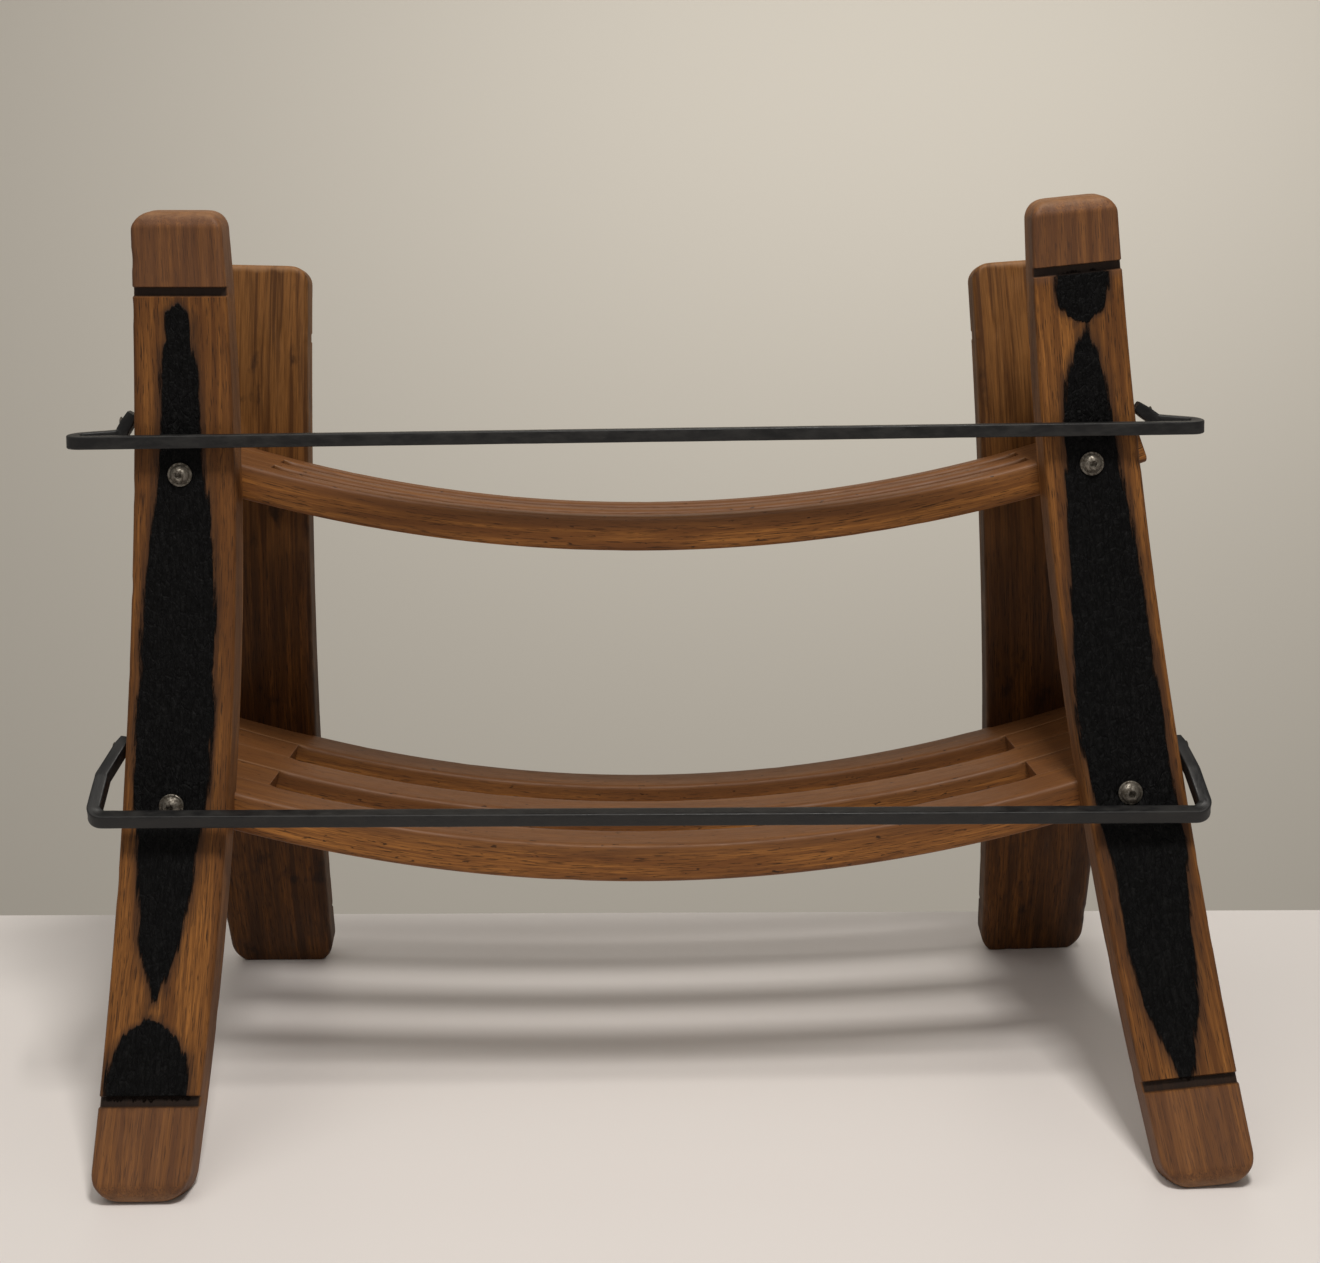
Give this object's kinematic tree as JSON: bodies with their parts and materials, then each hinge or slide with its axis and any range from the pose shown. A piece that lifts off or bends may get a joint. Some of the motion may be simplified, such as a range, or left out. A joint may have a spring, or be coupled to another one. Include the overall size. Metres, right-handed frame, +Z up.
{
  "type": "log rack",
  "caption": "Barrel-stave log rack with splayed stave legs, curved slatted shelves and black square-bar rails across the front.",
  "frame": {"origin": "middle of the footprint on the floor", "axes": "+X to the rack's right seen from the front, +Y to the back, +Z up"},
  "size_m": [0.8511, 0.3925, 0.6875],
  "materials": {
    "front_stave_oak": "planed reclaimed oak with a charred face, satin oil",
    "rear_stave_oak": "weathered reclaimed oak, streaked, satin oil",
    "slat_oak": "sanded reclaimed oak, satin oil",
    "spacer_oak": "sanded reclaimed oak, satin oil",
    "black_iron": "blackened square bar, satin",
    "fastener_steel": "dull zinc-plated steel"
  },
  "bodies": {
    "root": {"front_left_leg": "front_stave_oak", "front_right_leg": "front_stave_oak", "rear_left_leg": "rear_stave_oak", "rear_right_leg": "rear_stave_oak", "upper_front_slat": "slat_oak", "upper_middle_slat": "slat_oak", "upper_rear_slat": "slat_oak", "lower_front_slat": "slat_oak", "lower_middle_slat": "slat_oak", "lower_rear_slat": "slat_oak", "upper_left_front_spacer": "spacer_oak", "upper_left_rear_spacer": "spacer_oak", "upper_right_front_spacer": "spacer_oak", "upper_right_rear_spacer": "spacer_oak", "lower_left_front_spacer": "spacer_oak", "lower_left_rear_spacer": "spacer_oak", "lower_right_front_spacer": "spacer_oak", "lower_right_rear_spacer": "spacer_oak", "upper_rail": "black_iron", "lower_rail": "black_iron", "upper_bolts": "fastener_steel", "lower_bolts": "fastener_steel", "head_washers": "fastener_steel", "nut_washers": "fastener_steel", "nuts": "fastener_steel", "rail_screws": "fastener_steel"}
  },
  "joints": []
}
